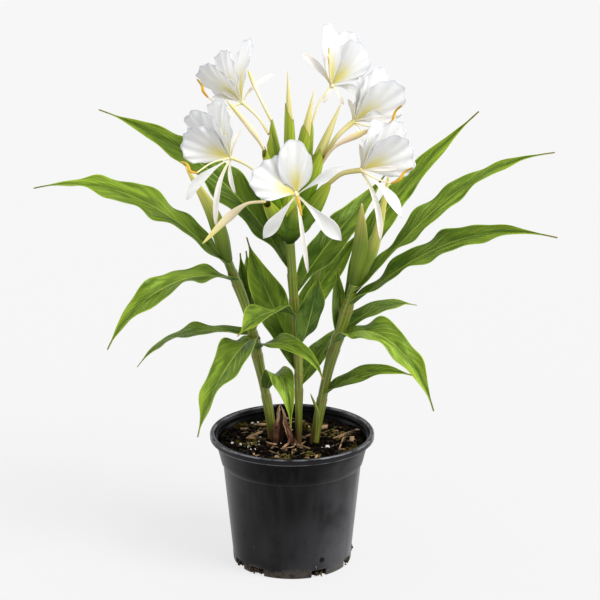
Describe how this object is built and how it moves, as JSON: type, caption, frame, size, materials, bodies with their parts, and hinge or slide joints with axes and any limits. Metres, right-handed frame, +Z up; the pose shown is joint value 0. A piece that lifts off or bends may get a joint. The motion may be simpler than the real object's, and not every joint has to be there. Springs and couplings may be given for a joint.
{
  "type": "potted ginger lily",
  "caption": "White-flowered ginger lily in a black plastic nursery pot: upright canes with long arching leaves and a head of green bracts with open blooms.",
  "frame": {"origin": "middle of the pot's flat underside, on the surface that it stands on", "axes": "+Z up, +X to the right and +Y away from a viewer who faces the front bloom"},
  "size_m": [0.5356, 0.1847, 0.562],
  "materials": {
    "pot_plastic": "satin",
    "soil": "matte",
    "dried_sheath": "matte",
    "cane": "satin",
    "leaf": "satin",
    "rolled_leaf": "satin",
    "bract": "satin",
    "petal": "satin",
    "anther": "satin",
    "bud": "satin"
  },
  "bodies": {
    "root": {"pot": "pot_plastic", "soil": "soil", "dried_sheath": "dried_sheath", "young_shoot": "cane", "cane_left": "cane", "cane_centre": "cane", "cane_right": "cane", "leaf_left_back": "leaf", "leaf_left_long": "leaf", "leaf_left_arching": "leaf", "leaf_left_dark": "leaf", "leaf_left_hanging": "leaf", "leaf_front_short": "leaf", "leaf_front_right": "leaf", "leaf_upright_broad": "leaf", "leaf_upright_narrow": "leaf", "leaf_back_low": "leaf", "leaf_right_steep": "leaf", "leaf_right_high": "leaf", "leaf_right_long": "leaf", "leaf_right_small": "leaf", "leaf_right_arching": "leaf", "leaf_right_low": "leaf", "leaf_back_right": "leaf", "leaf_back_pale": "leaf", "leaf_middle_dark": "leaf", "leaf_right_upright": "leaf", "leaf_low_right": "leaf", "leaf_low_folded": "leaf", "rolled_leaf_left": "rolled_leaf", "rolled_leaf_right": "rolled_leaf", "rolled_leaf_back": "rolled_leaf", "flower_head": "bract", "bloom_top_left": "petal", "anther_top_left": "anther", "bloom_left": "petal", "anther_left": "anther", "bloom_front": "petal", "anther_front": "anther", "bloom_top_right": "petal", "anther_top_right": "anther", "bloom_right": "petal", "anther_right": "anther", "bloom_right_low": "petal", "anther_right_low": "anther", "bud_top_left": "bud", "bud_left_upper": "bud", "bud_left_lower": "bud", "bud_right": "bud"}
  },
  "joints": []
}
